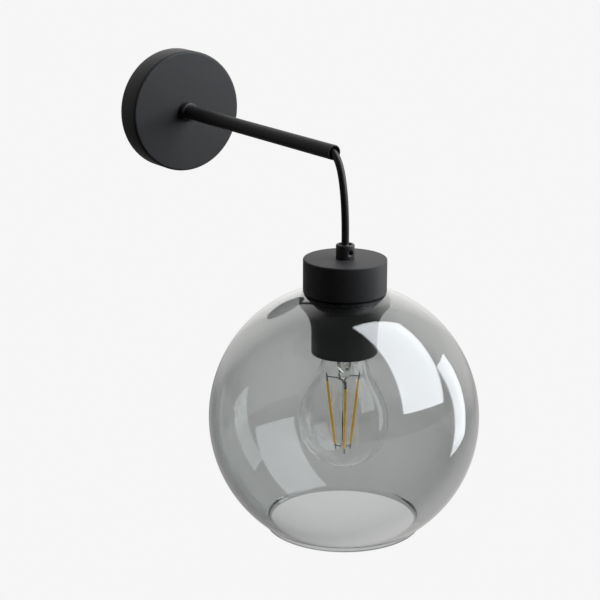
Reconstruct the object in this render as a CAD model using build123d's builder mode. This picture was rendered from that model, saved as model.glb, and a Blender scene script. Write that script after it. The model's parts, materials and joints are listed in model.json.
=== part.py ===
import os
from math import atan2, cos, degrees, pi, radians, sin, sqrt, tan

from build123d import *

# A globe wall sconce, in millimetres. The wall is the plane y = 0 with the origin at the
# centre of the canopy, the arm points along -Y, and +Z is up.

# Canopy: a pressed cup that is open to the wall
canopy_dia = 88
canopy_depth = 20
canopy_wall = 1.2
canopy_edge = 1.8  # outside radius round its front face
side_screw_from_wall = 9
side_screw_hole_dia = 4.5
side_screw_reach = 6  # past the outside of the ear

# Mounting bracket: a strap across the back of the canopy with two bent ears
bracket_width = 16
bracket_thickness = 1.5
bracket_ear_depth = 14
bracket_bend = 2.5  # outside radius of the bent corners
slot_spacing = 50
slot_length = 14
slot_width = 4.6
earth_screw_x = 12.5

# Arm: a straight tube through the front of the canopy
arm_dia = 10
arm_wall = 1
arm_reach = 205  # from the wall to the mouth of the tube
arm_inner_end = 11.5  # from the wall to the end inside the canopy
arm_mouth_edge = 0.4
collar_dia = 14
collar_length = 4.5
collar_edge = 1
washer_dia = 16
washer_thickness = 0.8
washer_teeth = 10
washer_notch_depth = 0.8
washer_notch_width = 1.2
nut_across_flats = 14
nut_thickness = 2.8
nut_bevel = 30  # degrees
anchor_dia = 15
anchor_length = 8.5
anchor_cord_grip = 5  # the part of its length beyond the end of the tube
anchor_edge = 1

# Cord
cord_dia = 5
core_dia = 1.9
core_pitch = 2.0  # between the two cores

# Pendant: everything that hangs on the cord, about one vertical axis
pendant_reach = 218  # from the wall to the axis
grip_top = -58
grip_height = 9.5
grip_dia = 12.2
grip_bore = 5.8
grip_edge = 0.9
grip_mouth_dia = 8.6  # the wider top of its bore
grip_mouth_depth = 2.4
grip_screw_dia = 5
grip_screw_below_top = 5.3
grip_screw_sunk = 0.3
grip_socket_dia = 2.9  # across the corners
grip_socket_depth = 1.4
stud_dia = 10
stud_length = 9
cap_dia = 55
cap_height = 22.8
cap_wall = 1.2
cap_edge = 1.0
cap_rim_edge = 0.8

# Glass globe
globe_dia = 180
globe_wall = 2.5
globe_neck_edge = 0.5
globe_mouth_dia = 105.2  # outside of the lip at the bottom
globe_lip = 2.7  # height of the lip below the sphere
globe_lip_wall = 3.4
globe_lip_edge = 1.4

# Shade ring: a trumpet-shaped ring nut that holds the glass against the cap
ring_flange_width = 7.7
ring_length = 41.7  # from the rim of the cap to its bottom
ring_edge_height = 4.4  # of the flange
ring_flare_height = 17
ring_wall = 1.2
ring_bottom_edge = 0.6
ring_thread_length = 13
gasket_thickness = 1.5
gasket_width = 5.5

# Lampholder
holder_body_dia = 39.6
holder_body_wall = 2.8
holder_body_length = 38.5
holder_body_edge = 0.6
holder_mouth_lip = 3
holder_recess = 3  # of the body above the bottom of the shade ring
dome_wall = 1.8
dome_neck_dia = 14
dome_neck_length = 9
dome_shoulder_height = 7
dome_bevel = 5
insert_height = 12.7
holder_ledge = 1  # under the insert
holder_terminal_dia = 4.4
holder_terminal_length = 8
core_spread = 11  # from the pendant axis to a terminal
screw_shell_wall = 0.5

# Bulb: a clear globe-and-neck envelope on a 27 mm screw base
bulb_dia = 60
bulb_length = 105
bulb_shoulder = 46  # outside radius above the widest place
bulb_base_dia = 26.2
bulb_base_length = 22
bulb_base_wall = 0.4
bulb_base_flare = 0.3  # of its open end
envelope_wall = 0.8
neck_dia = 28  # just below the base
neck_slope = 0.27
shoulder_slope = 0.6
filament_count = 3
filament_dia = 1.8
filament_top = -153.5  # height of their upper ends
filament_bottom = -197.4
filament_top_circle = 24.4  # diameter of the circle of their upper ends
filament_bottom_circle = 12.2
top_tab_length = 5.5
bottom_tab_length = 4
wire_dia = 0.7

# Clearances
thread_gap = 0.05  # radial, between a plain-cut thread and its nut
loose_gap = 0.1  # radial, between parts that pass through each other
ear_gap = 0.2  # between the bracket's ears and the canopy
neck_gap = 1.2  # radial, between the lampholder and the hole in the glass
ring_relief = 0.8  # radial, between the lampholder and the ring below its thread
shell_gap = 0.2  # radial, between the bulb's base and the screw shell
mouth_gap = 1.2  # radial, between the flared end of the base and the lampholder
screw_gap = 0.3  # radial, between a terminal screw and its chimney
tip_gap = 0.3  # between the cord and the tip of the grip screw

os.makedirs("parts", exist_ok=True)

canopy_r = canopy_dia / 2
canopy_inner_r = canopy_r - canopy_wall
canopy_front = canopy_depth - canopy_wall  # inside face, from the wall
arm_r = arm_dia / 2
cord_r = cord_dia / 2
cap_top = grip_top - grip_height
cap_rim = cap_top - cap_height
cap_inner_r = cap_dia / 2 - cap_wall
globe_r = globe_dia / 2
globe_inner_r = globe_r - globe_wall
base_r = bulb_base_dia / 2
body_r = holder_body_dia / 2
body_bore_r = body_r - holder_body_wall
neck_r = body_r + neck_gap
thread_r = body_r + loose_gap
ring_bore_r = body_r + ring_relief
ring_r = ring_bore_r + ring_wall
flange_r = ring_r + ring_flange_width
# the inside edge of the cap's rim sits on the glass
globe_z = cap_rim - sqrt(globe_r**2 - cap_inner_r**2)

pendant_axis = Axis((0, -pendant_reach, 0), (0, 0, 1))
hang = Plane((0, -pendant_reach, 0))  # horizontal, through the pendant axis
profile = Plane.XZ.offset(pendant_reach)  # x is the radius, y is the height


def finish(part, name):
    part.label = name
    export_step(part, f"parts/{name}.step")


def sphere_height(radius, at):
    return sqrt(radius**2 - at**2)


# ---- canopy and bracket ----

with BuildPart() as canopy:
    with BuildSketch(Plane.XZ):
        Circle(canopy_r)
    extrude(amount=canopy_depth)
    fillet(canopy.faces().sort_by(Axis.Y)[0].edges(), canopy_edge)
    offset(amount=-canopy_wall, openings=canopy.faces().sort_by(Axis.Y)[-1])
    with BuildSketch(Plane.XZ):
        Circle(arm_r + loose_gap)
    extrude(amount=canopy_depth, mode=Mode.SUBTRACT)
    with BuildSketch(Plane.YZ):
        with Locations((-side_screw_from_wall, 0)):
            Circle(side_screw_hole_dia / 2)
    extrude(amount=canopy_r, both=True, mode=Mode.SUBTRACT)
finish(canopy.part, "canopy")

# the ears stand just inside the round wall, also at their corners
ear_x = sqrt(canopy_inner_r**2 - (bracket_width / 2) ** 2) - ear_gap
side_screw_r = 2  # M4
tap_r = side_screw_r + thread_gap

with BuildPart() as mounting_bracket:
    with BuildSketch(Plane.XY):
        with BuildLine():
            outside = FilletPolyline(
                (-ear_x, -bracket_ear_depth),
                (-ear_x, 0),
                (ear_x, 0),
                (ear_x, -bracket_ear_depth),
                radius=bracket_bend,
            )
            inside = FilletPolyline(
                (-ear_x + bracket_thickness, -bracket_ear_depth),
                (-ear_x + bracket_thickness, -bracket_thickness),
                (ear_x - bracket_thickness, -bracket_thickness),
                (ear_x - bracket_thickness, -bracket_ear_depth),
                radius=bracket_bend - bracket_thickness,
            )
            Line(outside @ 0, inside @ 0)
            Line(outside @ 1, inside @ 1)
        make_face()
    extrude(amount=bracket_width / 2, both=True)
    ear_corners = mounting_bracket.edges().filter_by(Axis.X).group_by(Axis.Y)[0]
    fillet(ear_corners, bracket_width / 4)
    with BuildSketch(Plane.XZ):
        with GridLocations(slot_spacing, 0, 2, 1):
            SlotOverall(slot_length, slot_width)
        with Locations((earth_screw_x, 0)):
            Circle(tap_r)
    extrude(amount=bracket_thickness, mode=Mode.SUBTRACT)
    with BuildSketch(Plane.YZ):
        with Locations((-side_screw_from_wall, 0)):
            Circle(tap_r)
    extrude(amount=ear_x, both=True, mode=Mode.SUBTRACT)
finish(mounting_bracket.part, "mounting_bracket")

# Pan head screws, drawn upright with the underside of the head at z = 0
pan_head_dia = 8
pan_head_height = 2.4
pan_head_edge = 1.4
recess_width = 1.2
recess_length = 4.4
recess_depth = 1.4
screw_tip_edge = 0.5


def pan_head_screw(shank_length):
    with BuildPart() as screw:
        with BuildSketch(Plane.XY):
            Circle(pan_head_dia / 2)
        extrude(amount=pan_head_height)
        fillet(screw.faces().sort_by(Axis.Z)[-1].edges(), pan_head_edge)
        with BuildSketch(Plane.XY.offset(pan_head_height)):
            Rectangle(recess_length, recess_width)
            Rectangle(recess_width, recess_length)
        extrude(amount=-recess_depth, mode=Mode.SUBTRACT)
        with BuildSketch(Plane.XY):
            Circle(side_screw_r)
        extrude(amount=-shank_length)
        chamfer(screw.faces().sort_by(Axis.Z)[0].edges(), screw_tip_edge)
    return screw.part


side_screw = pan_head_screw(canopy_r - ear_x + side_screw_reach)
side_screw_planes = [
    Plane((side * canopy_r, -side_screw_from_wall, 0), x_dir=(0, 1, 0), z_dir=(side, 0, 0))
    for side in (-1, 1)
]
with BuildPart() as canopy_screws:
    with Locations(side_screw_planes):
        add(side_screw)
finish(canopy_screws.part, "canopy_screws")

# Earth terminal: a ring lug under a screw in the strap
lug_thickness = 0.8
lug_dia = 8.4
lug_tail_length = 9
lug_tail_dia = 3
barrel_start = lug_dia / 2 + 0.6  # of the crimp barrel, above the screw

with BuildPart() as earth_lug:
    with BuildSketch(Plane.XZ.offset(bracket_thickness)):
        with Locations((earth_screw_x, 0)):
            Circle(lug_dia / 2)
            with Locations((0, lug_tail_length / 2)):
                Rectangle(lug_tail_dia, lug_tail_length)
            Circle(tap_r, mode=Mode.SUBTRACT)
    extrude(amount=lug_thickness)
    with BuildSketch(Plane.XY.offset(barrel_start)):
        with Locations((earth_screw_x, -bracket_thickness - lug_tail_dia / 2)):
            Circle(lug_tail_dia / 2)
    extrude(amount=lug_tail_length - barrel_start)
    with BuildSketch(Plane.XY.offset(barrel_start)):
        with Locations((earth_screw_x, -bracket_thickness - lug_tail_dia / 2)):
            Circle(core_dia / 2)
    extrude(amount=lug_tail_length, mode=Mode.SUBTRACT)
finish(earth_lug.part, "earth_lug")

with BuildPart() as earth_screw:
    earth_seat = bracket_thickness + lug_thickness
    with Locations(Plane((earth_screw_x, -earth_seat, 0), x_dir=(1, 0, 0), z_dir=(0, -1, 0))):
        add(pan_head_screw(earth_seat))
finish(earth_screw.part, "earth_screw")

# ---- arm ----

with BuildPart() as arm_tube:
    with BuildSketch(Plane.XZ.offset(arm_inner_end)):
        Circle(arm_r)
        Circle(arm_r - arm_wall, mode=Mode.SUBTRACT)
    extrude(amount=arm_reach - arm_inner_end)
    mouth_edge = arm_tube.faces().sort_by(Axis.Y)[0].outer_wire().edges()
    fillet(mouth_edge, arm_mouth_edge)
finish(arm_tube.part, "arm_tube")

with BuildPart() as arm_collar:
    with BuildSketch(Plane.XZ.offset(canopy_depth)):
        Circle(collar_dia / 2)
        Circle(arm_r + thread_gap, mode=Mode.SUBTRACT)
    extrude(amount=collar_length)
    fillet(arm_collar.faces().sort_by(Axis.Y)[0].outer_wire().edges(), collar_edge)
finish(arm_collar.part, "arm_collar")

washer_face = canopy_front - washer_thickness
with BuildPart() as arm_washer:
    with BuildSketch(Plane.XZ.offset(washer_face)):
        Circle(washer_dia / 2)
        Circle(arm_r + loose_gap, mode=Mode.SUBTRACT)
        with PolarLocations(washer_dia / 2, washer_teeth):
            Rectangle(2 * washer_notch_depth, washer_notch_width, mode=Mode.SUBTRACT)
    extrude(amount=washer_thickness)
finish(arm_washer.part, "arm_washer")

nut_face = washer_face - nut_thickness
with BuildPart() as arm_nut:
    with BuildSketch(Plane.XZ.offset(nut_face)):
        RegularPolygon(nut_across_flats / 2, 6, major_radius=False)
        Circle(arm_r + thread_gap, mode=Mode.SUBTRACT)
    extrude(amount=nut_thickness)
    with BuildSketch(Plane.XZ.offset(nut_face)):
        Circle(nut_across_flats / 2)
    extrude(amount=nut_thickness, taper=-nut_bevel, mode=Mode.INTERSECT)
finish(arm_nut.part, "arm_nut")

anchor_rear = arm_inner_end - anchor_cord_grip
anchor_screw_z = -cord_r  # its tip bears on the cord
with BuildPart() as cord_anchor:
    with BuildSketch(Plane.XZ.offset(anchor_rear)):
        Circle(anchor_dia / 2)
        Circle(cord_r + loose_gap, mode=Mode.SUBTRACT)
    extrude(amount=anchor_length)
    with BuildSketch(Plane.XZ.offset(arm_inner_end)):
        Circle(arm_r + thread_gap)
    extrude(amount=anchor_length, mode=Mode.SUBTRACT)
    fillet(cord_anchor.faces().sort_by(Axis.Y)[-1].outer_wire().edges(), anchor_edge)
    with BuildSketch(Plane.XY):
        with Locations((0, -anchor_rear - anchor_cord_grip / 2)):
            Circle(side_screw_r + thread_gap)
    extrude(amount=-anchor_dia, mode=Mode.SUBTRACT)
finish(cord_anchor.part, "cord_anchor")

anchor_screw_length = 6
anchor_slot_width = 0.8
slot_depth = 1
with BuildPart() as anchor_screw:
    with BuildSketch(Plane.XY.offset(anchor_screw_z)):
        with Locations((0, -anchor_rear - anchor_cord_grip / 2)):
            Circle(side_screw_r)
    extrude(amount=-anchor_screw_length)
    with BuildSketch(Plane.XY.offset(anchor_screw_z - anchor_screw_length)):
        with Locations((0, -anchor_rear - anchor_cord_grip / 2)):
            Rectangle(pan_head_dia, anchor_slot_width)
    extrude(amount=slot_depth, mode=Mode.SUBTRACT)
finish(anchor_screw.part, "anchor_screw")

# ---- cord ----

# The route of the cord in the plane x = 0, as corners of straight runs: through the arm, over
# the lower lip of its mouth, and down to the cord grip. A stiff cord bears on the top of the
# bore before it bends.
cord_route = [
    (0, -anchor_rear, 0),
    (0, -200.6, 1.3),
    (0, -205.6, -0.6),
    (0, -210.3, -5.9),
    (0, -213.4, -13.2),
    (0, -215.4, -21.5),
    (0, -216.8, -30.5),
    (0, -217.6, -40.0),
    (0, -pendant_reach, -49.5),
    (0, -pendant_reach, grip_top),
]
bend_run = (1, 2)  # the run inside the mouth where the free cord starts
drop_run = (5, 6)  # the run where its second stretch starts
arc_share = 0.45  # of the shorter run at each corner


def corner_radius(before, corner, after):
    run_in = Vector(*corner) - Vector(*before)
    run_out = Vector(*after) - Vector(*corner)
    turn = radians(run_in.get_angle(run_out))
    return arc_share * min(run_in.length, run_out.length) / tan(turn / 2)


def corner_radii(route):
    return [corner_radius(*three) for three in zip(route, route[1:], route[2:])]


def middle(route, run):
    start, end = (Vector(*route[i]) for i in run)
    return tuple((start + end) * 0.5)


cord_radii = corner_radii(cord_route)
print("cord radii", [round(r, 1) for r in cord_radii])
bend_start = middle(cord_route, bend_run)
drop_start = middle(cord_route, drop_run)


def round_tube(points, radii, radius, name):
    """A round tube along straight runs joined by arcs."""
    with BuildPart() as tube:
        with BuildLine() as path:
            FilletPolyline(*points, radius=radii)
        with BuildSketch(Plane(path.wire() @ 0, z_dir=path.wire() % 0)):
            Circle(radius)
        sweep(path=path.wire(), transition=Transition.RIGHT)
    length = path.wire().length
    print(name, "length", round(length, 2), "volume", tube.part.volume / (length * pi * radius**2))
    return tube.part


cord_in_arm = round_tube([*cord_route[:2], bend_start], cord_radii[:1], cord_r, "cord_in_arm")
finish(cord_in_arm, "cord_in_arm")
cord_bend = round_tube([bend_start, *cord_route[2:6], drop_start], cord_radii[1:5], cord_r, "cord_bend")
finish(cord_bend, "cord_bend")
cord_drop = round_tube([drop_start, *cord_route[6:]], cord_radii[5:], cord_r, "cord_drop")
finish(cord_drop, "cord_drop")

# ---- terminal block ----

pole_pitch = 8
pole_xs = [-pole_pitch, 0, pole_pitch]  # live, neutral, earth
block_z = 26
block_length = 14
block_base = 1.5
barrel_dia = 5
barrel_bore = 3
barrel_length = 12
housing_dia = 7.4
barrel_depth = canopy_front - block_base - housing_dia / 2  # from the wall
chimney_dia = 5.6
chimney_top = 7.4  # from the wall
terminal_screw_dia = 3
terminal_screw_offset = 3.4  # from the middle of the barrel
terminal_screw_length = 4.2
terminal_slot_width = 0.6
block_corner = 1
web_thickness = 2

with BuildPart() as terminal_block:
    with BuildSketch(Plane.XZ.offset(canopy_front)):
        with Locations((0, block_z)):
            RectangleRounded(2 * pole_pitch + housing_dia, block_length, block_corner)
    extrude(amount=-block_base)
    with BuildSketch(Plane.XY.offset(block_z - block_length / 2)):
        for x in pole_xs:
            with Locations((x, -barrel_depth)):
                Circle(housing_dia / 2)
                with Locations((0, -housing_dia / 4)):
                    Rectangle(housing_dia, housing_dia / 2)
        with Locations((0, -barrel_depth)):
            Rectangle(2 * pole_pitch, web_thickness)
    extrude(amount=block_length)
    with BuildSketch(Plane.XZ.offset(chimney_top)):
        for x in pole_xs:
            with Locations(
                (x, block_z - terminal_screw_offset), (x, block_z + terminal_screw_offset)
            ):
                Circle(chimney_dia / 2)
    extrude(amount=barrel_depth - chimney_top)
    with BuildSketch(Plane.XY.offset(block_z - block_length / 2)):
        for x in pole_xs:
            with Locations((x, -barrel_depth)):
                Circle(barrel_dia / 2 + loose_gap)
    extrude(amount=block_length, mode=Mode.SUBTRACT)
    with BuildSketch(Plane.XZ.offset(chimney_top)):
        for x in pole_xs:
            with Locations(
                (x, block_z - terminal_screw_offset), (x, block_z + terminal_screw_offset)
            ):
                Circle(terminal_screw_dia / 2 + screw_gap)
    extrude(amount=barrel_depth - chimney_top, mode=Mode.SUBTRACT)
finish(terminal_block.part, "terminal_block")

with BuildPart() as terminal_barrels:
    with BuildSketch(Plane.XY.offset(block_z - barrel_length / 2)):
        for x in pole_xs:
            with Locations((x, -barrel_depth)):
                Circle(barrel_dia / 2)
                Circle(barrel_bore / 2, mode=Mode.SUBTRACT)
    extrude(amount=barrel_length)
    with BuildSketch(Plane.XZ.offset(chimney_top)):
        for x in pole_xs:
            with Locations(
                (x, block_z - terminal_screw_offset), (x, block_z + terminal_screw_offset)
            ):
                Circle(terminal_screw_dia / 2 + thread_gap)
    extrude(amount=barrel_depth - chimney_top, mode=Mode.SUBTRACT)
finish(terminal_barrels.part, "terminal_barrels")

screw_tip = barrel_depth - core_dia / 2  # on a core in the middle of the barrel
with BuildPart() as terminal_screws:
    with BuildSketch(Plane.XZ.offset(screw_tip - terminal_screw_length)):
        for x in pole_xs:
            with Locations(
                (x, block_z - terminal_screw_offset), (x, block_z + terminal_screw_offset)
            ):
                Circle(terminal_screw_dia / 2)
    extrude(amount=terminal_screw_length)
    with BuildSketch(Plane.XZ.offset(screw_tip - terminal_screw_length)):
        for x in pole_xs:
            with Locations(
                (x, block_z - terminal_screw_offset), (x, block_z + terminal_screw_offset)
            ):
                Rectangle(terminal_screw_dia, terminal_slot_width)
    extrude(amount=slot_depth, mode=Mode.SUBTRACT)
finish(terminal_screws.part, "terminal_screws")

# The cores turn aside behind the cord anchor and run into the lower ends of the barrels
core_turn = anchor_rear - 3.1  # from the wall, where they turn aside
core_rise = 2.7  # of their next corner, above the anchor
core_straight = 5.5  # below the block
block_bottom = block_z - block_length / 2
core_end = block_z + 1


def core_to_pole(start_x, pole_x, name):
    points = [
        (start_x, -anchor_rear, 0),
        (start_x, -core_turn, 0),
        (start_x * 0.4 + pole_x * 0.75, -core_turn - 0.2, anchor_dia / 2 + core_rise),
        (pole_x, -barrel_depth, block_bottom - core_straight),
        (pole_x, -barrel_depth, core_end),
    ]
    return round_tube(points, corner_radii(points), core_dia / 2, name)


live_core = core_to_pole(-core_pitch / 2, pole_xs[0], "live_core")
finish(live_core, "live_core")
neutral_core = core_to_pole(core_pitch / 2, pole_xs[1], "neutral_core")
finish(neutral_core, "neutral_core")

# The earth lead climbs straight out of its lug, crosses to the last pole and enters its barrel
lug_mouth = (earth_screw_x, -bracket_thickness - lug_tail_dia / 2, lug_dia / 2 + 1)
earth_climb = 6
earth_cross = (1, 1.5, -5)  # of its third corner, from the mouth of the barrel
earth_straight = 2
earth_points = [
    lug_mouth,
    (earth_screw_x, lug_mouth[1], lug_mouth[2] + earth_climb),
    (pole_xs[2] + earth_cross[0], -barrel_depth + earth_cross[1], block_bottom + earth_cross[2]),
    (pole_xs[2], -barrel_depth, block_bottom - earth_straight),
    (pole_xs[2], -barrel_depth, core_end),
]
earth_lead = round_tube(earth_points, corner_radii(earth_points), core_dia / 2, "earth_lead")
finish(earth_lead, "earth_lead")

# ---- cord grip and cap ----

grip_screw_z = grip_top - grip_screw_below_top
with BuildPart() as cord_grip:
    with BuildSketch(hang.offset(cap_top)):
        Circle(grip_dia / 2)
    extrude(amount=grip_height)
    fillet(cord_grip.faces().sort_by(Axis.Z)[-1].edges(), grip_edge)
    with BuildSketch(hang.offset(cap_top)):
        Circle(stud_dia / 2)
    extrude(amount=-stud_length)
    with BuildSketch(hang.offset(grip_top)):
        Circle(grip_bore / 2)
    extrude(amount=-grip_height - stud_length, mode=Mode.SUBTRACT)
    with BuildSketch(hang.offset(grip_top)):
        Circle(grip_mouth_dia / 2)
    extrude(amount=-grip_mouth_depth, mode=Mode.SUBTRACT)
    with BuildSketch(Plane.XZ.offset(pendant_reach)):
        with Locations((0, grip_screw_z)):
            Circle(grip_screw_dia / 2 + thread_gap)
    extrude(amount=grip_dia, mode=Mode.SUBTRACT)
finish(cord_grip.part, "cord_grip")

grip_screw_tip = pendant_reach + cord_r + tip_gap  # from the wall
grip_screw_head = pendant_reach + grip_dia / 2 - grip_screw_sunk
with BuildPart() as grip_screw:
    with BuildSketch(Plane.XZ.offset(grip_screw_tip)):
        with Locations((0, grip_screw_z)):
            Circle(grip_screw_dia / 2)
    extrude(amount=grip_screw_head - grip_screw_tip)
    with BuildSketch(Plane.XZ.offset(grip_screw_head)):
        with Locations((0, grip_screw_z)):
            RegularPolygon(grip_socket_dia / 2, 6)
    extrude(amount=-grip_socket_depth, mode=Mode.SUBTRACT)
finish(grip_screw.part, "grip_screw")

with BuildPart() as holder_cap:
    with BuildSketch(hang.offset(cap_top)):
        Circle(cap_dia / 2)
    extrude(amount=-cap_height)
    fillet(holder_cap.faces().sort_by(Axis.Z)[-1].edges(), cap_edge)
    offset(amount=-cap_wall, openings=holder_cap.faces().sort_by(Axis.Z)[0])
    with BuildSketch(hang.offset(cap_top)):
        Circle(stud_dia / 2 + loose_gap)
    extrude(amount=-cap_wall, mode=Mode.SUBTRACT)
    fillet(holder_cap.faces().sort_by(Axis.Z)[0].outer_wire().edges(), cap_rim_edge)
finish(holder_cap.part, "holder_cap")

# ---- glass globe ----

mouth_r = globe_mouth_dia / 2
mouth_inner_r = mouth_r - globe_lip_wall
mouth_z = globe_z - sphere_height(globe_r, mouth_r)
mouth_inner_z = globe_z - sphere_height(globe_inner_r, mouth_inner_r)
lip_z = mouth_z - globe_lip
neck_z = globe_z + sphere_height(globe_r, neck_r)
neck_inner_z = globe_z + sphere_height(globe_inner_r, neck_r)

with BuildPart() as glass_globe:
    with BuildSketch(profile):
        with BuildLine():
            ThreePointArc((neck_r, neck_z), (globe_r, globe_z), (mouth_r, mouth_z))
            Line((mouth_r, mouth_z), (mouth_r, lip_z))
            Line((mouth_r, lip_z), (mouth_inner_r, lip_z))
            Line((mouth_inner_r, lip_z), (mouth_inner_r, mouth_inner_z))
            ThreePointArc(
                (mouth_inner_r, mouth_inner_z), (globe_inner_r, globe_z), (neck_r, neck_inner_z)
            )
            Line((neck_r, neck_inner_z), (neck_r, neck_z))
        make_face()
    revolve(axis=pendant_axis)
    lip_edges = glass_globe.faces().sort_by(Axis.Z)[0].edges()
    fillet(lip_edges, globe_lip_edge)
    neck_edges = glass_globe.edges().group_by(Axis.Z)[-1]
    fillet(neck_edges, globe_neck_edge)
finish(glass_globe.part, "glass_globe")

# ---- shade ring and gasket ----

seat_r = globe_inner_r - gasket_thickness  # the dished top of the ring
ring_bottom = cap_rim - ring_length
flange_top = globe_z + sphere_height(seat_r, flange_r)
flange_bottom = flange_top - ring_edge_height
flare_end = flange_bottom - ring_flare_height
flare_out = flange_r - ring_r
flare_radius = (flare_out**2 + ring_flare_height**2) / (2 * flare_out)
flare_angle = atan2(ring_flare_height, flare_radius - flare_out) / 2
flare_mid = (
    ring_r + flare_radius * (1 - cos(flare_angle)),
    flare_end + flare_radius * sin(flare_angle),
)
thread_top = globe_z + sphere_height(seat_r, thread_r)
thread_end = thread_top - ring_thread_length
seat_mid_r = (thread_r + flange_r) / 2
seat_mid = (seat_mid_r, globe_z + sphere_height(seat_r, seat_mid_r))

with BuildPart() as shade_ring:
    with BuildSketch(profile):
        with BuildLine():
            ThreePointArc((thread_r, thread_top), seat_mid, (flange_r, flange_top))
            Line((flange_r, flange_top), (flange_r, flange_bottom))
            ThreePointArc((flange_r, flange_bottom), flare_mid, (ring_r, flare_end))
            Polyline(
                (ring_r, flare_end),
                (ring_r, ring_bottom),
                (ring_bore_r, ring_bottom),
                (ring_bore_r, thread_end - (ring_bore_r - thread_r)),
                (thread_r, thread_end),
                (thread_r, thread_top),
            )
        make_face()
    revolve(axis=pendant_axis)
    fillet(shade_ring.faces().sort_by(Axis.Z)[0].outer_wire().edges(), ring_bottom_edge)
finish(shade_ring.part, "shade_ring")

gasket_inner_r = neck_r + 1  # just outside the hole in the glass
gasket_outer_r = gasket_inner_r + gasket_width
gasket_mid_r = (gasket_inner_r + gasket_outer_r) / 2
with BuildPart() as glass_gasket:
    with BuildSketch(profile):
        with BuildLine():
            top = ThreePointArc(
                *[
                    (r, globe_z + sphere_height(globe_inner_r, r))
                    for r in (gasket_inner_r, gasket_mid_r, gasket_outer_r)
                ]
            )
            bottom = ThreePointArc(
                *[
                    (r, globe_z + sphere_height(seat_r, r))
                    for r in (gasket_inner_r, gasket_mid_r, gasket_outer_r)
                ]
            )
            Line(top @ 0, bottom @ 0)
            Line(top @ 1, bottom @ 1)
        make_face()
    revolve(axis=pendant_axis)
finish(glass_gasket.part, "glass_gasket")

# ---- lampholder ----

cap_under = cap_top - cap_wall
body_bottom = ring_bottom + holder_recess
body_top = body_bottom + holder_body_length
holder_mouth_r = base_r + bulb_base_flare + mouth_gap
insert_top = body_top
insert_bottom = insert_top - insert_height

with BuildPart() as holder_body:
    with BuildSketch(profile):
        Polygon(
            (body_r, body_top),
            (body_r, body_bottom),
            (holder_mouth_r, body_bottom),
            (holder_mouth_r, body_bottom + holder_mouth_lip),
            (body_bore_r - holder_ledge, body_bottom + holder_mouth_lip),
            (body_bore_r - holder_ledge, insert_bottom),
            (body_bore_r, insert_bottom),
            (body_bore_r, body_top),
            align=None,
        )
    revolve(axis=pendant_axis)
    rim_edges = holder_body.faces().sort_by(Axis.Z)[0].edges()
    fillet(rim_edges, holder_body_edge)
finish(holder_body.part, "holder_body")

with BuildPart() as holder_insert:
    with BuildSketch(hang.offset(insert_bottom)):
        Circle(body_bore_r - loose_gap)
    extrude(amount=insert_height)
    with BuildSketch(hang.offset(insert_top)):
        with PolarLocations(core_spread, 2):
            Circle(holder_terminal_dia / 2 + loose_gap)
    extrude(amount=-holder_terminal_length, mode=Mode.SUBTRACT)
finish(holder_insert.part, "holder_insert")

with BuildPart() as holder_terminals:
    with BuildSketch(hang.offset(insert_top)):
        with PolarLocations(core_spread, 2):
            Circle(holder_terminal_dia / 2)
            Circle(core_dia / 2 + loose_gap, mode=Mode.SUBTRACT)
    extrude(amount=-holder_terminal_length)
finish(holder_terminals.part, "holder_terminals")

dome_r = body_r - 0.8  # its skirt stands inside the body's outline
dome_shoulder = body_top + dome_shoulder_height
inner_bevel = dome_bevel + 0.5
with BuildPart() as holder_dome:
    with BuildSketch(profile):
        with BuildLine():
            Polyline(
                (stud_dia / 2 + thread_gap, cap_under),
                (dome_neck_dia / 2, cap_under),
                (dome_neck_dia / 2, cap_under - dome_neck_length + dome_wall),
                (dome_r - dome_bevel, dome_shoulder),
                (dome_r, dome_shoulder - dome_bevel),
                (dome_r, body_top),
                (dome_r - dome_wall, body_top),
                (dome_r - dome_wall, dome_shoulder - inner_bevel),
                (dome_r - inner_bevel, dome_shoulder - dome_wall),
                (stud_dia / 2 + thread_gap, cap_under - dome_neck_length),
                close=True,
            )
        make_face()
    revolve(axis=pendant_axis)
finish(holder_dome.part, "holder_dome")

stud_bottom = cap_top - stud_length
cord_in_grip_end = stud_bottom - 1  # the sheath ends just below the stud
with BuildPart() as cord_in_grip:
    with BuildSketch(hang.offset(grip_top)):
        Circle(cord_r)
    extrude(amount=cord_in_grip_end - grip_top)
finish(cord_in_grip.part, "cord_in_grip")

# two cores spread from the cord to the terminals in the insert
core_start_length = 3
core_above_insert = 3.5
core_in_insert = 4
cores = []
for side in (-1, 1):
    points = [
        (side * core_pitch / 2, -pendant_reach, cord_in_grip_end),
        (side * core_pitch / 2, -pendant_reach, cord_in_grip_end - core_start_length),
        (side * core_spread, -pendant_reach, insert_top + core_above_insert),
        (side * core_spread, -pendant_reach, insert_top - core_in_insert),
    ]
    cores.append(round_tube(points, corner_radii(points), core_dia / 2, "holder core"))
with BuildPart() as holder_cores:
    add(cores)
finish(holder_cores.part, "holder_cores")

shell_inner_r = base_r + shell_gap
shell_outer_r = shell_inner_r + screw_shell_wall
shell_bottom = body_bottom + holder_mouth_lip
shell_eye_r = 8  # hole in its top, for the centre contact
with BuildPart() as screw_shell:
    with BuildSketch(hang.offset(insert_bottom)):
        Circle(shell_outer_r)
    extrude(amount=shell_bottom - insert_bottom)
    with BuildSketch(hang.offset(insert_bottom - screw_shell_wall)):
        Circle(shell_inner_r)
    extrude(amount=shell_bottom - insert_bottom, mode=Mode.SUBTRACT)
    with BuildSketch(hang.offset(insert_bottom)):
        Circle(shell_eye_r)
    extrude(amount=-screw_shell_wall, mode=Mode.SUBTRACT)
finish(screw_shell.part, "screw_shell")

# ---- bulb ----

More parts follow.
